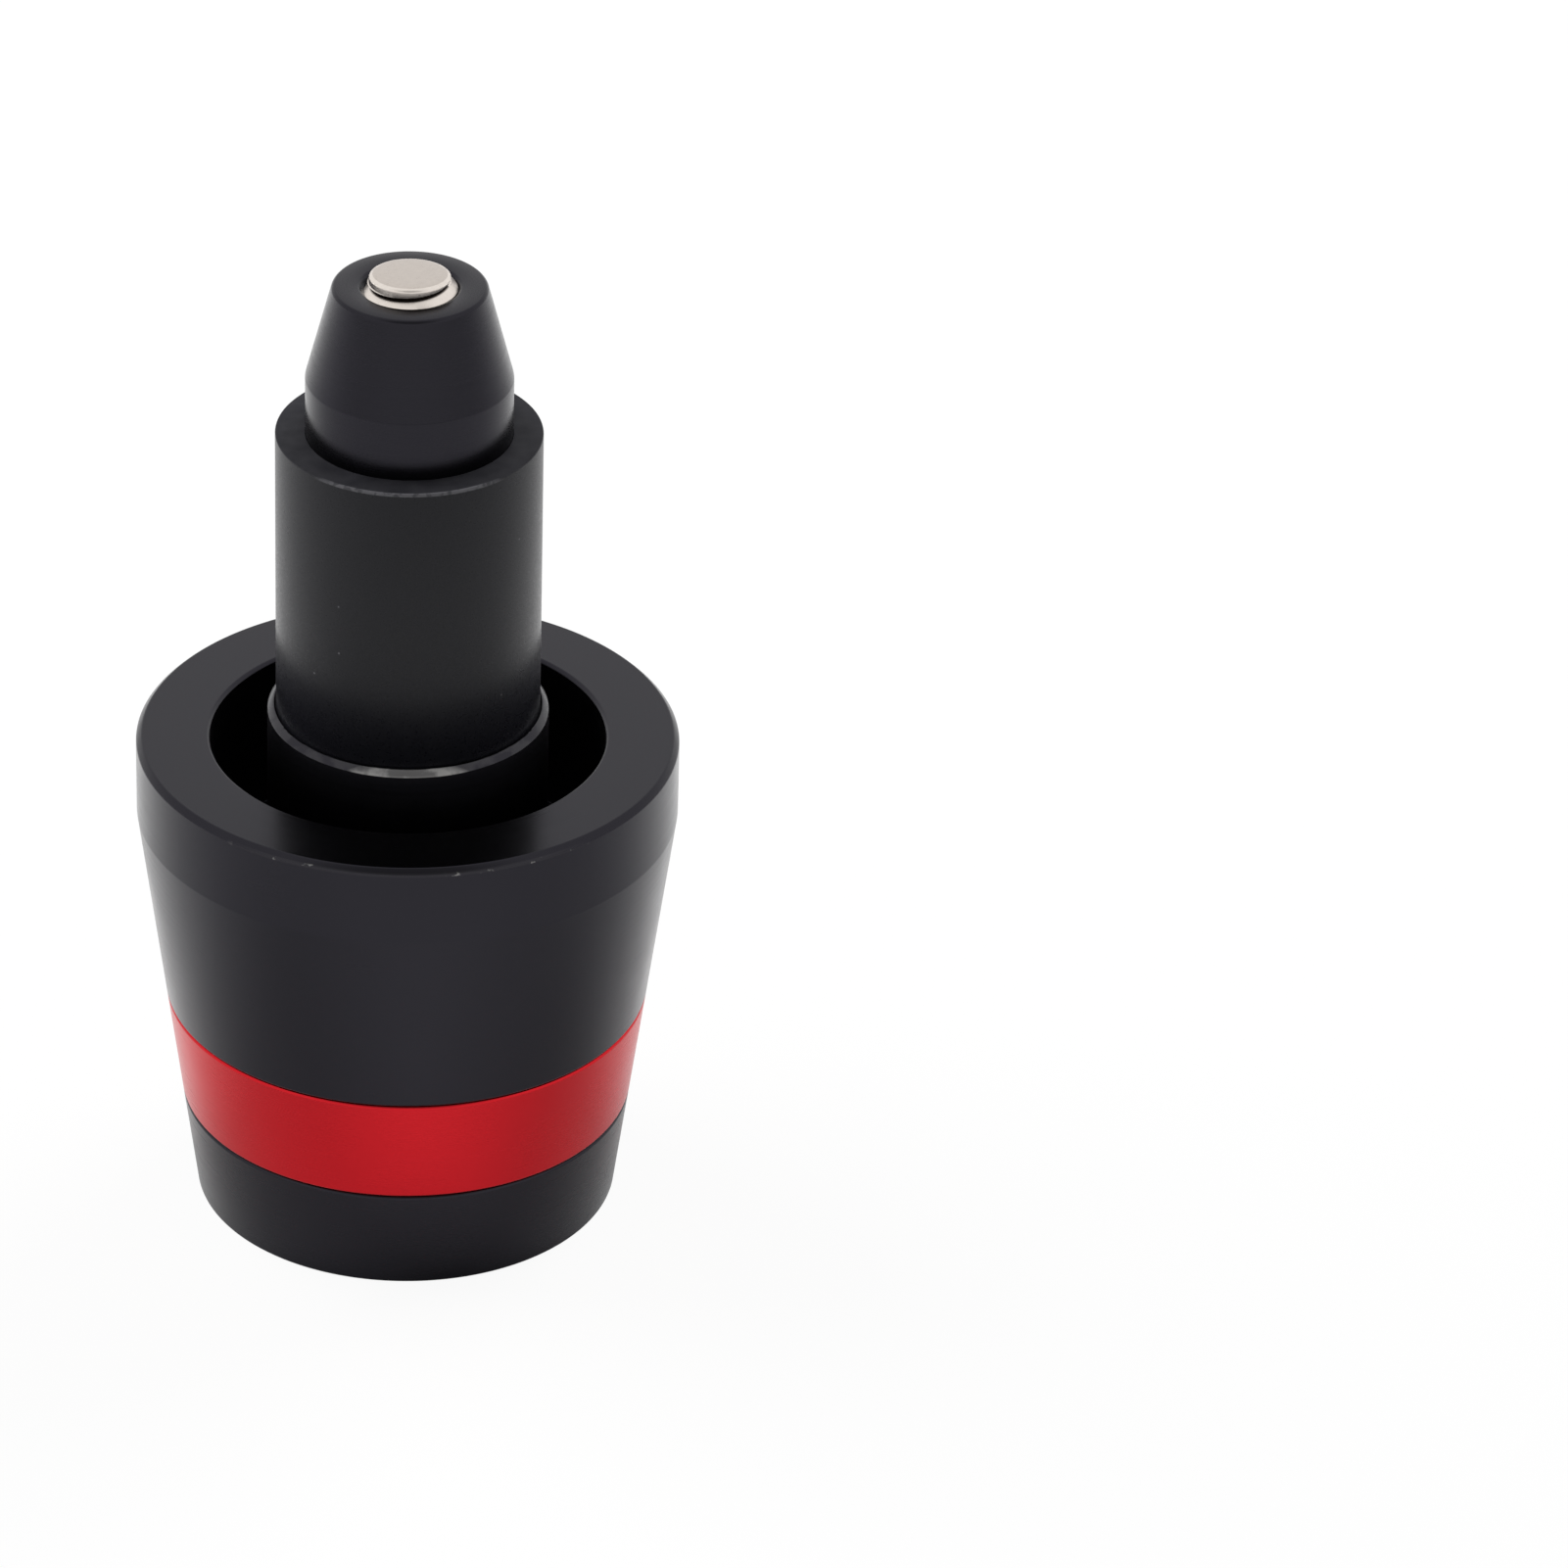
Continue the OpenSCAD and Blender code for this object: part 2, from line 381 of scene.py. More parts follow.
def thread_cutter(name, inner, outer, start_z, turns):
    """A closed right-hand helical bar for cutting a thread, as a die or a tap does.

    Its section runs from the inner to the outer (radius, half height), and it starts at the front.
    """
    (inner_r, inner_h), (outer_r, outer_h) = inner, outer
    middle = (0, -(inner_r + outer_r) / 2, start_z)
    deselect()
    bpy.ops.mesh.primitive_plane_add(size=MM, location=middle, rotation=(0, pi / 2, 0))
    cutter = bpy.context.object
    cutter.name = cutter.data.name = name
    bpy.ops.object.transform_apply(location=True, rotation=True, scale=True)
    select_points(cutter, lambda place: True)
    bpy.ops.transform.resize(
        value=(1, (outer_r - inner_r) / MM, 2 * inner_h / MM), center_override=middle
    )
    select_points(cutter, lambda place: place.y < middle[1])
    bpy.ops.transform.resize(
        value=(1, 1, outer_h / inner_h), center_override=(0, -outer_r, start_z)
    )
    bpy.ops.object.mode_set(mode="OBJECT")
    apply_modifier(
        cutter, "SCREW", axis="Z", screw_offset=sizes().screw.pitch, iterations=turns,
        steps=THREAD_STEPS, render_steps=THREAD_STEPS,
    )
    bpy.ops.object.mode_set(mode="EDIT")
    close_openings(bpy.ops.mesh.fill_holes, sides=4)
    return cutter


def flank(r):
    """Half height of the screw's thread groove at radius r."""
    screw = sizes().screw
    return screw.pitch * HALF_GROOVE - (screw.nominal_r - r) * tan(HALF_FLANKS)


def cut_socket(piece):
    """Cut the hex socket into the screw's head, with its drilled point and its chamfered mouth."""
    screw = sizes().screw
    corner_r = screw.socket_w / 2 / cos(HALF_HEX)
    deselect()
    bpy.ops.mesh.primitive_cylinder_add(
        vertices=6, radius=corner_r, depth=2 * screw.socket_depth, location=(0, 0, HEAD_Z),
        rotation=(0, 0, HALF_HEX),
    )
    cut(piece, bpy.context.object)
    drill_h = screw.socket_w / 2 * tan(DRILL_SLOPE)
    deselect()
    bpy.ops.mesh.primitive_cone_add(
        vertices=DRILL_SIDES, radius1=screw.socket_w / 2, radius2=0, depth=drill_h,
        location=(0, 0, HEAD_Z + screw.socket_depth + drill_h / 2 - HAIR),
    )
    cut(piece, bpy.context.object)
    # The chamfer's cutter stands out of the head, so that no skin is left over the mouth
    over = 0.1 * MM
    deselect()
    bpy.ops.mesh.primitive_cone_add(
        vertices=SCREW_SIDES, radius1=corner_r + over, radius2=corner_r - screw.socket_chamfer,
        depth=screw.socket_chamfer + over,
        location=(0, 0, HEAD_Z + (screw.socket_chamfer - over) / 2),
    )
    cut(piece, bpy.context.object)


def finish_piece(piece, node, body, material):
    """Give a piece its material, and let it stand for its CAD node."""
    piece.data.materials.clear()
    piece.data.materials.append(material)
    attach(piece, body)
    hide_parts(node)


def finish_faces(piece, material, chosen):
    """Give the faces of a piece that pass a test a material of their own."""
    piece.data.materials.append(material)
    for face in piece.data.polygons:
        if chosen(face):
            face.material_index = len(piece.data.materials) - 1


def linear(hex_value):
    """A linear colour from an sRGB hex value."""
    parts = [int(hex_value[i : i + 2], 16) / 255 for i in (1, 3, 5)]
    return [p / 12.92 if p <= 0.04045 else ((p + 0.055) / 1.055) ** 2.4 for p in parts] + [1]


def add_node(tree, kind, inputs=None, output=0, **settings):
    """Add a shader node, with its properties, and its inputs as values or other nodes' outputs."""
    node = tree.nodes.new("ShaderNode" + kind)
    for key, value in settings.items():
        setattr(node, key, value)
    for key, value in (inputs or {}).items():
        if isinstance(value, bpy.types.NodeSocket):
            tree.links.new(value, node.inputs[key])
        else:
            node.inputs[key].default_value = value
    return node.outputs[output] if node.outputs else None


def new_tree(name):
    """An empty material of that name, and its node tree."""
    material = bpy.data.materials.new(name)
    material.use_nodes = True
    material.node_tree.nodes.clear()
    return material, material.node_tree


def lathe_place(tree):
    """The place on a turned piece in millimetres, its distance from the axis and its height."""
    place = add_node(tree, "TexCoord", output="Object")
    place = add_node(tree, "VectorMath", {0: place, "Scale": 1 / MM}, operation="SCALE")
    flat = add_node(tree, "VectorMath", {0: place, 1: (1, 1, 0)}, operation="MULTIPLY")
    radius = add_node(tree, "VectorMath", {0: flat}, output="Value", operation="LENGTH")
    height = add_node(tree, "SeparateXYZ", {0: place}, output="Z")
    return place, radius, height


def rings(tree, radius, height, spacing):
    """A lathe tool's rings: a pattern that runs along the profile, at a spacing in millimetres."""
    along = add_node(tree, "Math", {0: radius, 1: height}, operation="ADD")
    return add_node(
        tree, "TexNoise", {"W": along, "Scale": 1 / spacing, "Detail": 3.0, "Roughness": 0.7},
        noise_dimensions="1D",
    )


def edge_wear_and_highlight(tree, lathe, edge, reach, front, grain, level, least, most):
    """How pale a turned edge is made, in patches, most at the front: rubbed-off oxide, and on the
    body's lip a painted highlight.

    The edge is a (radius, height), and the reach and the grain of the patches are in millimetres.
    It sets in at front, where -1 is the back of the piece and 1 its front, and is full
    halfway from there to 1. Patches cover more at a lower level, and it runs from least
    between them to most in them.
    """
    place, radius, height = lathe
    edge_r, edge_z = edge
    profile = add_node(tree, "CombineXYZ", {"X": radius, "Y": height})
    near = add_node(
        tree, "VectorMath", {0: profile, 1: (edge_r / MM, edge_z / MM, 0)}, output="Value",
        operation="DISTANCE",
    )
    near = add_node(tree, "MapRange", {
        "Value": near, "From Min": FULL_REACH * reach, "From Max": reach,
        "To Min": 1.0, "To Max": 0.0,
    })
    ahead = add_node(
        tree, "VectorMath", {0: place, 1: (0, -MM / edge_r, 0)}, output="Value",
        operation="DOT_PRODUCT",
    )
    ahead = add_node(tree, "MapRange", {
        "Value": ahead, "From Min": front, "From Max": (1 + front) / 2,
    })
    patches = add_node(tree, "TexNoise", {"Vector": place, "Scale": 1 / grain, "Detail": 4.0})
    patches = add_node(tree, "MapRange", {
        "Value": patches, "From Min": level - PATCH_BORDER, "From Max": level + PATCH_BORDER,
        "To Min": least, "To Max": most,
    })
    worn = add_node(tree, "Math", {0: near, 1: ahead}, operation="MULTIPLY")
    return add_node(tree, "Math", {0: worn, 1: patches}, operation="MULTIPLY")


def anodised(name, colour, roughness, worn=()):
    """Anodised aluminium, finely turned: a dyed clear oxide over the tool's rings.

    The dye gives a deep colour with a metal's sheen that whitens at a glancing angle. The rings
    and a slight cloudiness of the oxide break up its highlights. Rubbed edges show the pale metal
    under the oxide, and the same pale colour paints a highlight on the body's lip.
    """
    bare_and_highlight = linear(sizes().finishes.bare_and_highlight)
    material, tree = new_tree(name)
    lathe = place, radius, height = lathe_place(tree)
    # Cloudiness of the oxide, in patches 4 mm wide
    cloud = add_node(tree, "TexNoise", {"Vector": place, "Scale": 1 / 4, "Detail": 3.0})
    # Rings of the tool's feed, drawn 0.25 mm apart: the real ones, at 0.1 mm, are too fine to show
    feed = rings(tree, radius, height, 0.25)
    streak = add_node(tree, "Math", {0: cloud, 1: feed}, operation="ADD")
    rough = add_node(tree, "MapRange", {
        "Value": streak, "From Min": 2 * NOISE_LOW, "From Max": 2 * NOISE_HIGH,
        "To Min": roughness - ROUGH_SPREAD, "To Max": roughness + ROUGH_SPREAD,
    })
    bump = add_node(tree, "Bump", {"Strength": 0.12, "Distance": RELIEF, "Height": feed})
    base = linear(colour)
    # Each listed edge is mixed toward the pale metal: rubbed-off oxide, and on the body's lip a
    # painted highlight
    for edge in worn:
        mask = edge_wear_and_highlight(tree, lathe, **edge)
        base = add_node(tree, "MixRGB", {"Fac": mask, "Color1": base, "Color2": bare_and_highlight})
        rough = add_node(tree, "MapRange", {"Value": mask, "To Min": rough, "To Max": RUBBED_ROUGH})
    shader = add_node(tree, "BsdfPrincipled", {
        "Base Color": base, "Metallic": 1.0, "Roughness": rough, "Normal": bump,
    })
    add_node(tree, "OutputMaterial", {"Surface": shader})
    return material


def moulded_rubber(name, worn=()):
    """Moulded rubber: a smooth black skin, satin at a glancing angle, with specks and scuffs.

    Its cut end is dull and holds dust.
    """
    finishes = sizes().finishes
    material, tree = new_tree(name)
    lathe = place, _, height = lathe_place(tree)
    # Fine grain of the mould's skin, 0.2 mm wide
    grain = add_node(tree, "TexNoise", {"Vector": place, "Scale": 1 / 0.2, "Detail": 3.0})
    bump = add_node(tree, "Bump", {"Strength": 0.15, "Distance": RELIEF, "Height": grain})
    # Specks of dust 0.12 mm wide, each in a cell of 1.4 mm, and most cells have none
    from_speck = add_node(
        tree, "TexVoronoi", {"Vector": place, "Scale": 1 / 1.4}, output="Distance"
    )
    speck = add_node(tree, "MapRange", {
        "Value": from_speck, "From Min": 0.03, "From Max": 0.06, "To Min": 0.5, "To Max": 0.0,
    })
    dusty = add_node(
        tree, "Math", {0: from_speck.node.outputs["Color"], 1: 0.6}, operation="GREATER_THAN"
    )
    mask = add_node(tree, "Math", {0: speck, 1: dusty}, operation="MULTIPLY")
    for edge in worn:
        scuff = edge_wear_and_highlight(tree, lathe, **edge)
        mask = add_node(tree, "Math", {0: mask, 1: scuff}, operation="MAXIMUM")
    # Dust on the cut end, in smears 1.5 mm wide, from 0.05 mm below its face
    end_z = SLEEVE_Z / MM
    cut_end = add_node(tree, "MapRange", {
        "Value": height, "From Min": end_z - 0.05, "From Max": end_z - 0.01,
    })
    smears = add_node(tree, "TexNoise", {"Vector": place, "Scale": 1 / 1.5, "Detail": 4.0})
    smears = add_node(tree, "MapRange", {
        "Value": smears, "From Min": NOISE_LOW, "From Max": NOISE_HIGH,
        "To Min": 0.02, "To Max": 0.08,
    })
    smears = add_node(tree, "Math", {0: smears, 1: cut_end}, operation="MULTIPLY")
    mask = add_node(tree, "Math", {0: mask, 1: smears}, operation="MAXIMUM")
    base = add_node(tree, "MixRGB", {
        "Fac": mask, "Color1": linear(finishes.rubber), "Color2": linear(finishes.dust),
    })
    rough = add_node(tree, "MapRange", {
        "Value": grain, "From Min": NOISE_LOW, "From Max": NOISE_HIGH,
        "To Min": 0.26, "To Max": 0.34,
    })
    dull = add_node(tree, "Math", {0: mask, 1: cut_end}, operation="MAXIMUM")
    rough = add_node(tree, "MapRange", {"Value": dull, "To Min": rough, "To Max": SCUFFED_ROUGH})
    # The low IOR gives the weak sheen of rubber that is no longer new
    shader = add_node(tree, "BsdfPrincipled", {
        "Base Color": base, "Roughness": rough, "IOR": 1.32, "Normal": bump,
    })
    add_node(tree, "OutputMaterial", {"Surface": shader})
    return material


def stainless_steel(name, light, dark, shade_r=0):
    """Stainless steel: warm and bright, with dull patches, from a light to a dark shade.

    Painted shade darkens it up to the radius shade_r, at the bottom of the thread.
    """
    material, tree = new_tree(name)
    place, radius, height = lathe_place(tree)
    # Rings of the tool's feed on the head and the end, 0.15 mm apart
    feed = rings(tree, radius, height, 0.15)
    # Fine dull patches, about 0.3 mm wide
    dull = add_node(tree, "TexNoise", {
        "Vector": place, "Scale": 1 / 0.3, "Detail": 5.0, "Roughness": 0.65,
    })
    rough = add_node(tree, "MapRange", {
        "Value": dull, "From Min": NOISE_LOW, "From Max": NOISE_HIGH,
        "To Min": 0.26, "To Max": 0.36,
    })
    bump = add_node(tree, "Bump", {"Strength": 0.3, "Distance": RELIEF, "Height": feed})
    tone = add_node(tree, "MixRGB", {"Fac": dull, "Color1": linear(dark), "Color2": linear(light)})
    if shade_r:
        # The painted shade thins out over 0.1 mm
        shade_mask = add_node(tree, "MapRange", {
            "Value": radius, "From Min": shade_r / MM - 0.1, "From Max": shade_r / MM,
            "To Min": 1.0, "To Max": 0.0,
        })
        painted_shade = linear(sizes().finishes.painted_shade)
        tone = add_node(tree, "MixRGB", {"Fac": shade_mask, "Color1": tone, "Color2": painted_shade})
    shader = add_node(tree, "BsdfPrincipled", {
        "Base Color": tone, "Metallic": 1.0, "Roughness": rough, "Normal": bump,
    })
    add_node(tree, "OutputMaterial", {"Surface": shader})
    return material


class BAREND_OT_cap(bpy.types.Operator):
    """Turn the end cap, with its dish and its countersink"""

    bl_idname = "bar_end.cap"
    bl_label = "End Cap"

    def execute(self, context):
        outline, cap, screw = sizes().outline, sizes().cap, sizes().screw
        chamfer = outline.joint_chamfer
        cone_z = HEAD_Z + screw.head_edge_h
        seat_r = HEAD_R + cap.seat_gap
        piece = turned("end_cap_turned", [
            (outline.hole_r, cone_z + seat_r - outline.hole_r),
            (seat_r + screw.head_edge_h, HEAD_Z),
            (cap.dish_r, CAP_Z),
            (outline.base_r - chamfer, CAP_Z),
            (side_radius(chamfer), chamfer),
            (side_radius(RING_Z - chamfer), RING_Z - chamfer),
            (side_radius(RING_Z) - chamfer, RING_Z),
            (outline.spigot_r, RING_Z),
            (outline.spigot_r, HUB_Z - chamfer),
            (outline.spigot_r - chamfer, HUB_Z),
            (outline.hole_r, HUB_Z),
        ])
        break_edges(piece, outline.edge_r)
        black = sizes().finishes.black
        material = anodised("Anodised aluminium, black cap", black, TURNED_ROUGH)
        finish_piece(piece, "end_cap", "weight", material)
        return {"FINISHED"}


class BAREND_OT_ring(bpy.types.Operator):
    """Turn the red accent ring"""

    bl_idname = "bar_end.ring"
    bl_label = "Accent Ring"

    def execute(self, context):
        outline = sizes().outline
        chamfer = outline.joint_chamfer
        piece = turned("accent_ring_turned", [
            (outline.spigot_r + outline.spigot_gap, RING_Z),
            (side_radius(RING_Z) - chamfer, RING_Z),
            (side_radius(RING_Z + chamfer), RING_Z + chamfer),
            (side_radius(BODY_Z - chamfer), BODY_Z - chamfer),
            (side_radius(BODY_Z) - chamfer, BODY_Z),
            (outline.spigot_r + outline.spigot_gap, BODY_Z),
        ])
        break_edges(piece, outline.edge_r)
        material = anodised("Anodised aluminium, red", sizes().finishes.red, TURNED_ROUGH)
        finish_piece(piece, "accent_ring", "weight", material)
        return {"FINISHED"}


class BAREND_OT_body(bpy.types.Operator):
    """Turn the weight body, with its recess and its boss"""

    bl_idname = "bar_end.body"
    bl_label = "Weight Body"

    def execute(self, context):
        outline, body = sizes().outline, sizes().body
        chamfer = outline.joint_chamfer
        rim_z = BOSS_Z - body.rim_below_boss
        floor_z = rim_z - body.recess_depth
        piece = turned("weight_body_turned", [
            (outline.hole_r, SPIGOT_Z),
            (outline.spigot_r - chamfer, SPIGOT_Z),
            (outline.spigot_r, SPIGOT_Z + chamfer),
            (outline.spigot_r, BODY_Z),
            (side_radius(BODY_Z) - chamfer, BODY_Z),
            (side_radius(BODY_Z + chamfer), BODY_Z + chamfer),
            (RIM_R, rim_z - outline.band_h),
            (RIM_R, rim_z - body.rim_chamfer),
            (RIM_R - body.rim_chamfer, rim_z),
            (body.recess_r + body.recess_chamfer, rim_z),
            (body.recess_r, rim_z - body.recess_chamfer),
            (body.recess_r, floor_z),
            (body.boss_r, floor_z),
            (body.boss_r, BOSS_Z - body.lip_drop),
            (body.boss_r - body.lip_drop - body.lip_h, BOSS_Z + body.lip_h),
            (body.lip_r, BOSS_Z + body.lip_h),
            (body.lip_r, BOSS_Z),
            (body.pilot_r, BOSS_Z),
            (body.pilot_r, PILOT_Z - chamfer),
            (body.pilot_r - chamfer, PILOT_Z),
            (outline.hole_r, PILOT_Z),
        ])
        break_edges(piece, outline.edge_r)
        # The lip's pale ring is a painted highlight, made with the colour and roughness of rubbed
        # metal
        lip = {
            "edge": (body.boss_r - body.lip_drop, BOSS_Z), "reach": 0.5, "grain": 1.5,
            "level": 0.5,
        }
        # The painted highlight ring goes all the way round the lip, and the paler rubbed patch,
        # mostly painted highlight, is at the very front
        lip_highlight_ring = {**lip, "front": -1.5, "least": 0.01, "most": 0.05}
        lip_wear_and_highlight = {**lip, "front": 0.91, "least": 0.35, "most": 0.75}
        rim_wear = {
            "edge": (RIM_R, rim_z - body.rim_chamfer), "reach": 0.16, "front": 0.75,
            "grain": 0.7, "level": 0.67, "least": 0.02, "most": 0.7,
        }
        black = sizes().finishes.black
        wear_and_highlights = [lip_highlight_ring, lip_wear_and_highlight, rim_wear]
        material = anodised("Anodised aluminium, black body", black, BODY_ROUGH, wear_and_highlights)
        finish_piece(piece, "weight_body", "weight", material)
        bored = anodised("Anodised aluminium, black, bored", black, BORED_ROUGH)
        finish_faces(piece, bored, lambda face: (
            body.boss_r - outline.edge_r < face.center.xy.length < body.recess_r + outline.edge_r
            and floor_z - outline.edge_r < face.center.z < rim_z - 2 * body.recess_chamfer
        ))
        return {"FINISHED"}


class BAREND_OT_sleeve(bpy.types.Operator):
    """Mould the rubber sleeve, with its rounded edges and its tapered bore"""

    bl_idname = "bar_end.sleeve"
    bl_label = "Expander Sleeve"

    def execute(self, context):
        sleeve = sizes().sleeve
        edge_in_r = SLEEVE_R - sleeve.edge_r
        taper_z = SLEEVE_Z - sleeve.mouth_depth
        foot = [
            (edge_in_r + sleeve.edge_r * sin(a), BOSS_Z + sleeve.edge_r * (1 - cos(a)))
            for a in map(radians, (0, 30, 60, 90))
        ]
        top = [(r, SLEEVE_Z + BOSS_Z - z) for r, z in reversed(foot)]
        piece = turned("expander_sleeve_moulded", [
            (sleeve.bore_r, BOSS_Z), *foot, *top, (sleeve.mouth_r, SLEEVE_Z),
            (sleeve.mouth_r, taper_z), (sleeve.bore_r, taper_z - sleeve.taper_len),
        ])
        shade_rounds(piece)
        top_scuff = {
            "edge": (SLEEVE_R, SLEEVE_Z), "reach": 0.2, "front": 0.7, "grain": 0.4,
            "level": 0.45, "least": 0.2, "most": 0.45,
        }
        material = moulded_rubber("Moulded rubber, black", [top_scuff])
        finish_piece(piece, "expander_sleeve", "weight", material)
        return {"FINISHED"}


class BAREND_OT_nut(bpy.types.Operator):
    """Turn the wedge nut and tap its thread"""

    bl_idname = "bar_end.nut"
    bl_label = "Wedge Nut"

    def execute(self, context):
        nut, screw, outline = sizes().nut, sizes().screw, sizes().outline
        land_z = WEDGE_Z + nut.wedge_len
        piece = turned("wedge_nut_turned", [
            (nut.tapped_r, WEDGE_Z),
            (nut.wedge_r, WEDGE_Z),
            (LAND_R, land_z),
            (LAND_R, NOSE_Z - nut.nose_h),
            (nut.nose_top_r, NOSE_Z - nut.chamfer),
            (nut.nose_top_r - nut.chamfer, NOSE_Z),
            (nut.mouth_r, NOSE_Z),
            (nut.tapped_r, NOSE_Z - (nut.mouth_r - nut.tapped_r)),
        ])
        break_edges(piece, outline.edge_r)
        inner_r, outer_r = nut.tapped_r - screw.thread_gap, screw.nominal_r + screw.thread_gap
        inner_h, outer_h = (
            screw.pitch / 2 - flank(r) + screw.thread_gap for r in (inner_r, outer_r)
        )
        # The tap cuts where the screw's ridge is, half a pitch from its groove
        start_z = SCREW_Z - screw.groove_below - (screw.turns - 1.5) * screw.pitch
        tap = thread_cutter("tap", (inner_r, inner_h), (outer_r, outer_h), start_z, screw.turns)
        cut(piece, tap)
        shade_rounds(piece)
        black = sizes().finishes.black
        material = anodised("Anodised aluminium, black nut", black, TURNED_ROUGH)
        finish_piece(piece, "wedge_nut", "nut", material)
        return {"FINISHED"}


class BAREND_OT_screw(bpy.types.Operator):
    """Turn the countersunk screw, cut its thread and its hex socket"""

    bl_idname = "bar_end.screw"
    bl_label = "Clamp Screw"

    def execute(self, context):
        screw, finishes = sizes().screw, sizes().finishes
        cone_z = HEAD_Z + screw.head_edge_h
        point_z = SCREW_Z - screw.point_h
        crown_z = SCREW_Z - screw.crown_h
        piece = turned("clamp_screw_turned", [
            (HEAD_R, HEAD_Z),
            (HEAD_R, cone_z),
            (screw.thread_r, cone_z + HEAD_R - screw.thread_r),
            (screw.thread_r, point_z - (screw.thread_r - screw.point_r)),
            (screw.point_r, point_z),
            (screw.point_r, crown_z),
            *((r * screw.point_r, crown_z + rise * screw.crown_h) for r, rise in CROWN),
        ], solid=True, sides=SCREW_SIDES)
        select_points(piece, lambda place: place.z > crown_z - HAIR)
        bpy.ops.transform.rotate(
            value=screw.slant, orient_axis="X", center_override=(0, 0, crown_z)
        )
        round_edges(piece, screw.edge_r, SCREW_EDGE)
        root, crest = ((r, flank(r)) for r in (screw.root_r, screw.nominal_r))
        start_z = SCREW_Z - screw.groove_below - screw.turns * screw.pitch
        # Two more turns take the groove out past the end
        die = thread_cutter("die", root, crest, start_z, screw.turns + 2)
        cut(piece, die)
        cut_socket(piece)
        shade_rounds(piece)
        material = stainless_steel("Stainless steel, turned", finishes.steel, finishes.dull_steel)
        finish_piece(piece, "clamp_screw", "screw", material)
        # All above the head but the end's face, whose normal points almost straight up, gets a
        # lighter steel: a painted highlight on the rolled thread and the crown's edge
        head_top, face_up = cone_z + HEAD_R, 0.95
        highlit = stainless_steel("Stainless steel, rolled", finishes.thread, finishes.steel)
        finish_faces(piece, highlit, lambda face: (
            face.center.z > head_top and face.normal.z < face_up
        ))
        # Painted shade lies in the thread and on the point's wall, but not on what slopes up beside
        # the wall; elsewhere these faces keep the lighter steel of the painted highlight
        slope_up = 0.3
        shade_painted = stainless_steel(
            "Stainless steel, oily thread", finishes.thread, finishes.steel, screw.point_r
        )
        finish_faces(piece, shade_painted, lambda face: (
            head_top < face.center.z < crown_z
            and (face.normal.z < slope_up or face.center.z < point_z)
        ))
        return {"FINISHED"}


def place_camera():
    """Put the camera where the picture was taken from, turned so that the weight falls in place."""
    stage = sizes().stage
    aim = Vector((0, 0, stage.aim_z))
    back = Vector((0, -cos(stage.elevation), sin(stage.elevation)))
    centre = stage.photo_px / 2
    across, up = stage.aim_x - centre, centre - stage.aim_y
    seen = Vector((across / stage.focal_px, up / stage.focal_px, -1))
    upright = Vector((sin(stage.lean), cos(stage.lean), 0))
    seen_side = seen.cross(upright).normalized()
    side = (-back).cross(Vector((0, 0, 1))).normalized()
    seen.normalize()
    in_camera = Matrix((seen, seen_side, seen.cross(seen_side))).transposed()
    in_world = Matrix((-back, side, (-back).cross(side))).transposed()
    turn = in_world @ in_camera.transposed()
    bpy.ops.object.camera_add(location=aim + back * stage.distance, rotation=turn.to_euler())
    camera = bpy.context.object
    camera.name = "photo_camera"
    # The sensor is 36 mm wide, and the view is clear from 10 mm to 20 m
    camera.data.sensor_width = 36
    camera.data.lens = camera.data.sensor_width * stage.focal_px / stage.photo_px
    camera.data.clip_start = 0.01
    camera.data.clip_end = 20
    bpy.context.scene.camera = camera


def ray_is(tree, *kinds):
    """1 for a ray of one of these kinds, and 0 for any other."""
    path = add_node(tree, "LightPath").node
    found = path.outputs[kinds[0]]
    for kind in kinds[1:]:
        found = add_node(tree, "Math", {0: found, 1: path.outputs[kind]}, operation="MAXIMUM")
    return found


def white_ground():
    """White paper: it shows white, with a faint shadow, and is mirrored with its real shadow."""
    material, tree = new_tree("White paper ground")
    paper = add_node(tree, "BsdfDiffuse", {"Color": (0.9, 0.9, 0.9, 1)})
    glow = add_node(tree, "Emission", {"Color": (1, 1, 1, 1), "Strength": 1.0})
    seen = ray_is(tree, "Is Camera Ray", "Is Transmission Ray")
    mirrored = ray_is(tree, "Is Glossy Ray")
    share = add_node(tree, "Math", {0: mirrored, 1: MIRRORED_WHITE}, operation="MULTIPLY")
    share = add_node(tree, "Math", {0: seen, 1: SEEN_WHITE, 2: share}, operation="MULTIPLY_ADD")
    surface = add_node(tree, "MixShader", {0: share, 1: paper, 2: glow})
    add_node(tree, "OutputMaterial", {"Surface": surface})
    return material


def white_world():
    """White walls and ceiling, greyer in front and above, where the light tent is open."""
    world = bpy.data.worlds.new("White light tent")
    world.use_nodes = True
    tree = world.node_tree
    tree.nodes.clear()
    way = add_node(tree, "TexCoord", output="Generated")
    opening = add_node(
        tree, "VectorMath", {0: way, 1: OPENING_WAY}, output="Value", operation="DOT_PRODUCT"
    )
    mirrored = add_node(tree, "MapRange", {
        "Value": opening, "From Min": OPENING_EDGE, "From Max": OPENING_FULL,
        "To Min": 1.0, "To Max": OPENING_LEVEL,
    })
    level = add_node(tree, "MapRange", {
        "Value": ray_is(tree, "Is Glossy Ray"), "To Min": TENT_LEVEL, "To Max": mirrored,
    })
    seen = ray_is(tree, "Is Camera Ray", "Is Transmission Ray")
    level = add_node(tree, "MapRange", {"Value": seen, "To Min": level, "To Max": 1.0})
    back = add_node(tree, "Background", {"Color": (1, 1, 1, 1), "Strength": level})
    add_node(tree, "OutputWorld", {"Surface": back})
    bpy.context.scene.world = world


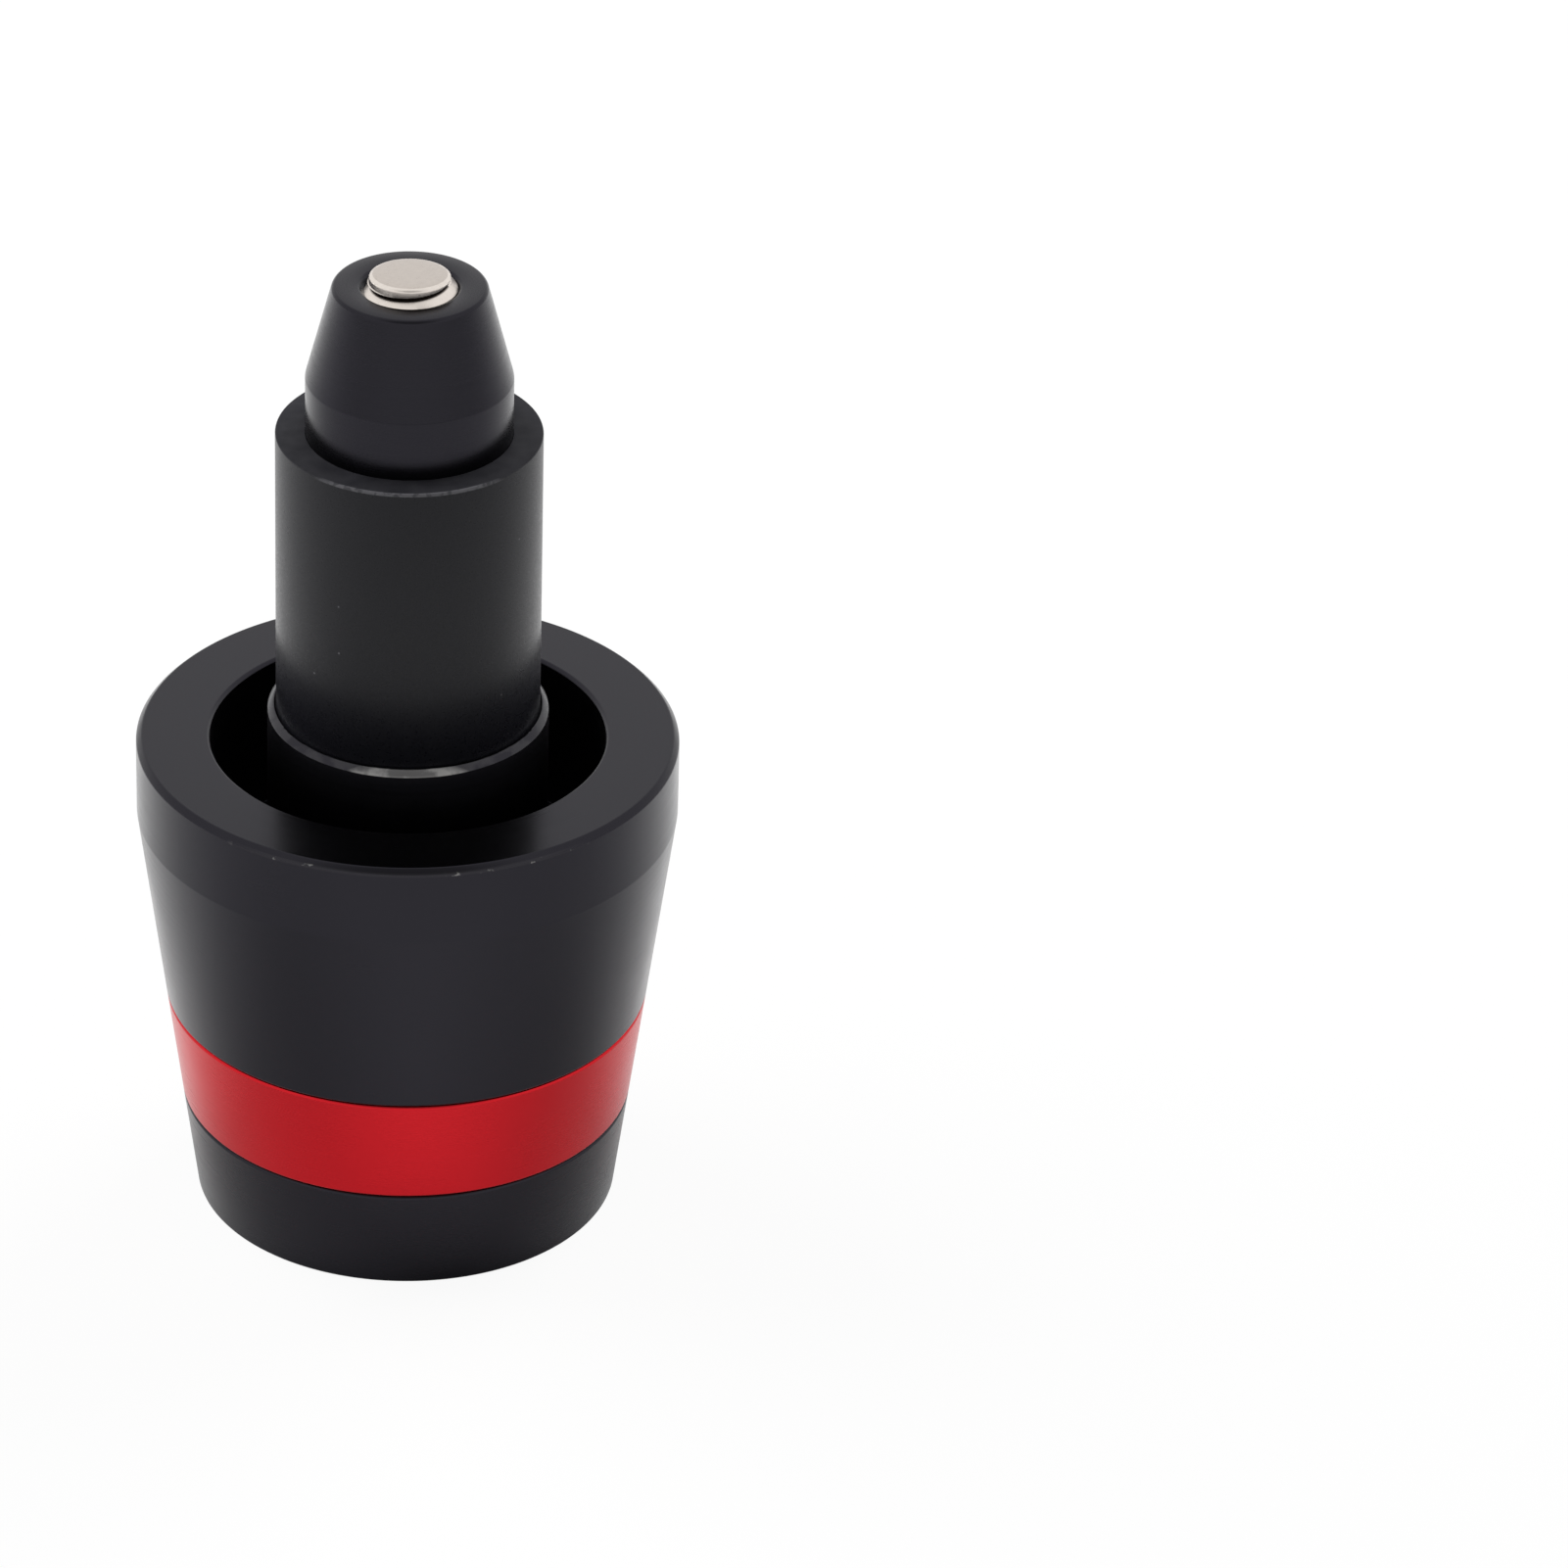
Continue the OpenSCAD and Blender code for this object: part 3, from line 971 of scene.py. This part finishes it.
def add_softbox(name, azimuth, elevation, distance, width, power):
    """A square soft lamp that looks at the weight, its azimuth counted right from the front."""
    azimuth, elevation = radians(azimuth), radians(elevation)
    aim = Vector((0, 0, LAMP_AIM_Z))
    back = Vector((
        sin(azimuth) * cos(elevation), -cos(azimuth) * cos(elevation), sin(elevation)
    ))
    turn = back.to_track_quat("Z", "Y")
    bpy.ops.object.light_add(
        type="AREA", location=aim + back * distance, rotation=turn.to_euler()
    )
    lamp = bpy.context.object
    lamp.name = name
    lamp.data.shape = "SQUARE"
    lamp.data.size = width
    lamp.data.energy = power
    lamp.visible_camera = False
    lamp.visible_glossy = False


class BAREND_OT_stage(bpy.types.Operator):
    """Set up the camera, the white ground and the soft lamps"""

    bl_idname = "bar_end.stage"
    bl_label = "Stage"

    def execute(self, context):
        deselect()
        place_camera()
        white_world()
        bpy.ops.mesh.primitive_plane_add(size=sizes().stage.floor_size, location=(0, 0, 0))
        floor = bpy.context.object
        floor.name = "ground"
        floor.data.materials.append(white_ground())
        for softbox in SOFTBOXES:
            add_softbox(*softbox)
        context.scene.view_settings.view_transform = "Standard"
        return {"FINISHED"}


class BarEndSizes(bpy.types.PropertyGroup):
    """All sizes and colours of the bar end weight"""

    outline: PointerProperty(type=OutlineSizes)
    body: PointerProperty(type=BodySizes)
    cap: PointerProperty(type=CapSizes)
    sleeve: PointerProperty(type=SleeveSizes)
    nut: PointerProperty(type=NutSizes)
    screw: PointerProperty(type=ScrewSizes)
    finishes: PointerProperty(type=Finishes)
    stage: PointerProperty(type=StageSizes)


OPERATORS = (
    BAREND_OT_cap,
    BAREND_OT_ring,
    BAREND_OT_body,
    BAREND_OT_sleeve,
    BAREND_OT_nut,
    BAREND_OT_screw,
    BAREND_OT_stage,
)


class BAREND_PT_panel(bpy.types.Panel):
    """Lists the sizes and the pieces of the bar end weight"""

    bl_idname = "BAREND_PT_panel"
    bl_label = "Bar End Weight"
    bl_space_type = "VIEW_3D"
    bl_region_type = "UI"
    bl_category = "Bar End"

    def draw(self, context):
        for group in BarEndSizes.__annotations__:
            values = getattr(context.scene.bar_end, group)
            box = self.layout.box()
            box.label(text=group.title())
            for key in values.__annotations__:
                box.prop(values, key)
        for operator in OPERATORS:
            self.layout.operator(operator.bl_idname)


CLASSES = (
    OutlineSizes, BodySizes, CapSizes, SleeveSizes, NutSizes, ScrewSizes, Finishes, StageSizes,
    BarEndSizes, *OPERATORS, BAREND_PT_panel,
)


def register():
    """Register the classes and hang the sizes on the scene."""
    for cls in CLASSES:
        bpy.utils.register_class(cls)
    bpy.types.Scene.bar_end = PointerProperty(type=BarEndSizes)


def unregister():
    """Take everything off again."""
    del bpy.types.Scene.bar_end
    for cls in reversed(CLASSES):
        bpy.utils.unregister_class(cls)


def main():
    """Build the pieces and the stage."""
    register()
    for operator in OPERATORS:
        group, name = operator.bl_idname.split(".")
        getattr(getattr(bpy.ops, group), name)()


if __name__ == "__main__":
    main()
